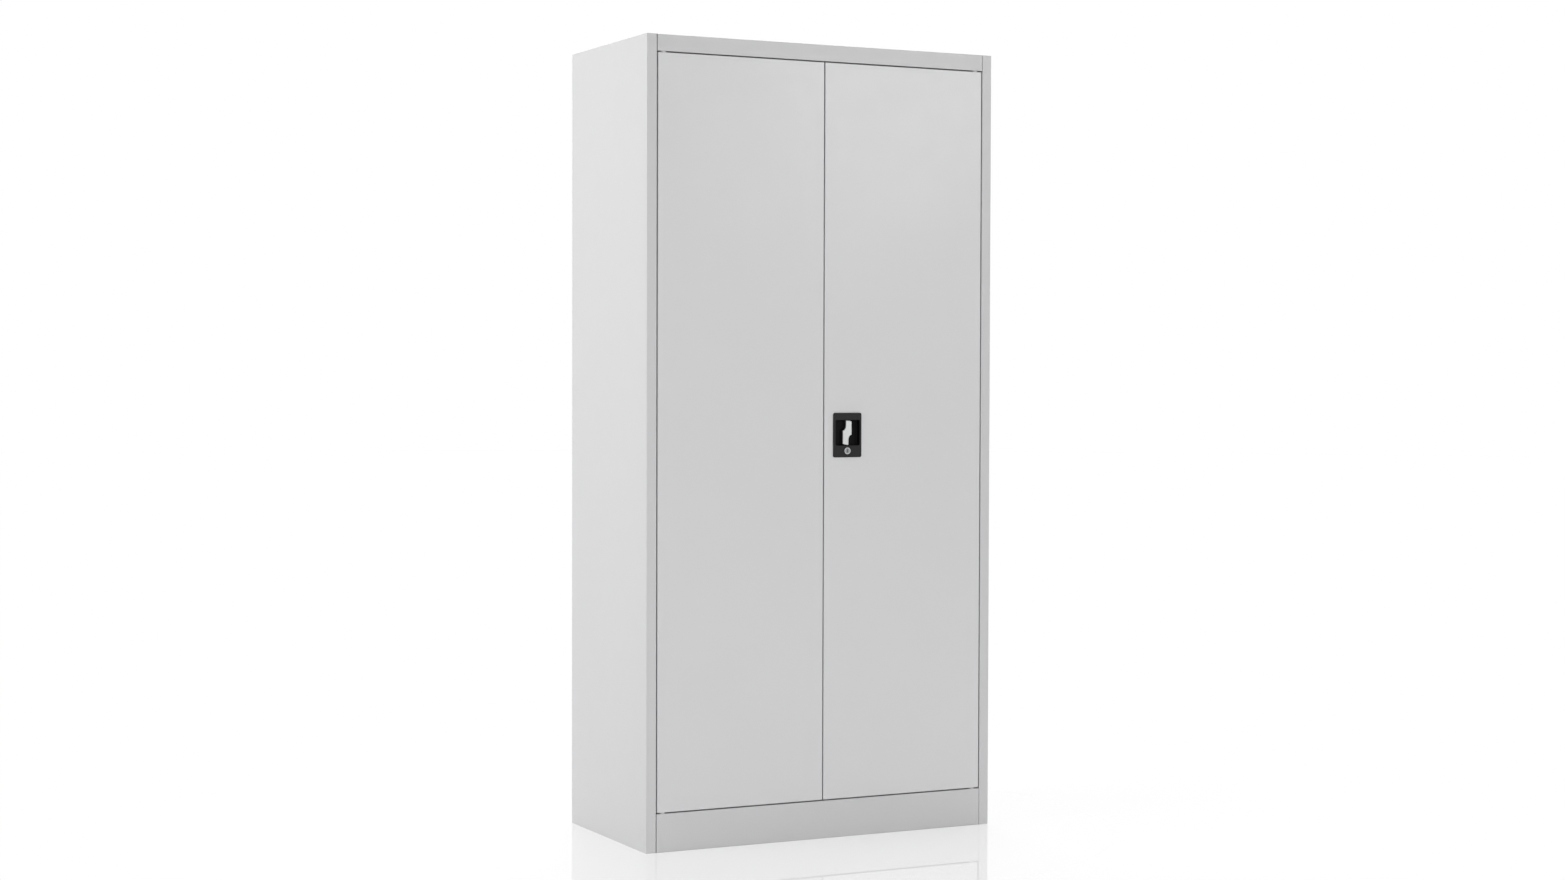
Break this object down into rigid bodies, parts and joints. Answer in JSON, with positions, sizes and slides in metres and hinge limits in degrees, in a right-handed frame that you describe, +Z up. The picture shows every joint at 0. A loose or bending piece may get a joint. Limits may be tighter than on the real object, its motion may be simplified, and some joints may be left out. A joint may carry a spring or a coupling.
{
  "type": "metal storage cabinet",
  "caption": "Grey steel storage cupboard with inset double doors, adjustable shelves and a turn-knob rod lock.",
  "frame": {"origin": "middle of the underside of the whole cupboard's box, on the floor", "axes": "+X to the right as seen from the front, +Y from the doors to the back, +Z up"},
  "size_m": [0.9, 0.454, 1.85],
  "materials": {
    "grey_paint": "satin",
    "zinc_plate": "satin",
    "pin_steel": "smooth",
    "white_nylon": "matte",
    "black_plastic": "matte",
    "black_rubber": "matte",
    "satin_chrome": "satin",
    "bright_chrome": "polished"
  },
  "bodies": {
    "cabinet": {"left_side_panel": "grey_paint", "right_side_panel": "grey_paint", "top_panel": "grey_paint", "bottom_panel": "grey_paint", "back_panel": "grey_paint", "front_left_upright": "grey_paint", "front_right_upright": "grey_paint", "rear_left_upright": "grey_paint", "rear_right_upright": "grey_paint", "shelf_1": "grey_paint", "shelf_2": "grey_paint", "shelf_3": "grey_paint", "shelf_4": "grey_paint", "shelf_1_clip_front_left": "zinc_plate", "shelf_1_clip_front_right": "zinc_plate", "shelf_1_clip_rear_left": "zinc_plate", "shelf_1_clip_rear_right": "zinc_plate", "shelf_2_clip_front_left": "zinc_plate", "shelf_2_clip_front_right": "zinc_plate", "shelf_2_clip_rear_left": "zinc_plate", "shelf_2_clip_rear_right": "zinc_plate", "shelf_3_clip_front_left": "zinc_plate", "shelf_3_clip_front_right": "zinc_plate", "shelf_3_clip_rear_left": "zinc_plate", "shelf_3_clip_rear_right": "zinc_plate", "shelf_4_clip_front_left": "zinc_plate", "shelf_4_clip_front_right": "zinc_plate", "shelf_4_clip_rear_left": "zinc_plate", "shelf_4_clip_rear_right": "zinc_plate", "left_door_upper_bush": "white_nylon", "left_door_lower_bush": "white_nylon", "right_door_upper_bush": "white_nylon", "right_door_lower_bush": "white_nylon", "upper_magnet": "black_plastic", "lower_magnet": "black_plastic", "upper_buffer": "black_rubber", "lower_buffer": "black_rubber"},
    "left_door": {"left_door_panel": "grey_paint", "left_door_stiffener": "grey_paint", "left_door_upper_pin": "pin_steel", "left_door_lower_pin": "pin_steel"},
    "right_door": {"right_door_panel": "grey_paint", "right_door_stiffener": "grey_paint", "right_door_upper_pin": "pin_steel", "right_door_lower_pin": "pin_steel", "lock_housing": "black_plastic", "lock_cover": "zinc_plate", "key_cylinder": "bright_chrome", "upper_rod_guide": "white_nylon", "lower_rod_guide": "white_nylon"},
    "knob": {"turn_knob": "satin_chrome", "cam_disc": "zinc_plate"},
    "key": {"key_plug": "bright_chrome", "lock_cam": "zinc_plate"},
    "upper_rod": {"upper_rod": "zinc_plate", "upper_rod_pin": "pin_steel"},
    "lower_rod": {"lower_rod": "zinc_plate", "lower_rod_pin": "pin_steel"}
  },
  "joints": [
    {"name": "left_door_hinge", "type": "hinge", "parent": "cabinet", "child": "left_door", "pos_m": [-0.40703, -0.2151, 0.95], "axis": [0, 0, -1], "range_deg": [0, 120]},
    {"name": "right_door_hinge", "type": "hinge", "parent": "cabinet", "child": "right_door", "pos_m": [0.40703, -0.2151, 0.95], "axis": [0, 0, 1], "range_deg": [0, 120]},
    {"name": "knob_turn", "type": "hinge", "parent": "right_door", "child": "knob", "pos_m": [0.06105, -0.223, 0.9488], "axis": [0, 1, 0], "range_deg": [0, 90]},
    {"name": "key_turn", "type": "hinge", "parent": "right_door", "child": "key", "pos_m": [0.06105, -0.223, 0.9065], "axis": [0, 1, 0], "range_deg": [0, 90]},
    {"name": "upper_rod_slide", "type": "slide", "parent": "right_door", "child": "upper_rod", "axis": [0, 0, 1], "range_m": [0, 0.0115]},
    {"name": "lower_rod_slide", "type": "slide", "parent": "right_door", "child": "lower_rod", "axis": [0, 0, -1], "range_m": [0, 0.0115]}
  ],
  "couplings": [
    {"joint": "upper_rod_slide", "follows": "knob_turn", "m_per_rad": 0.007321},
    {"joint": "lower_rod_slide", "follows": "knob_turn", "m_per_rad": 0.007321}
  ]
}
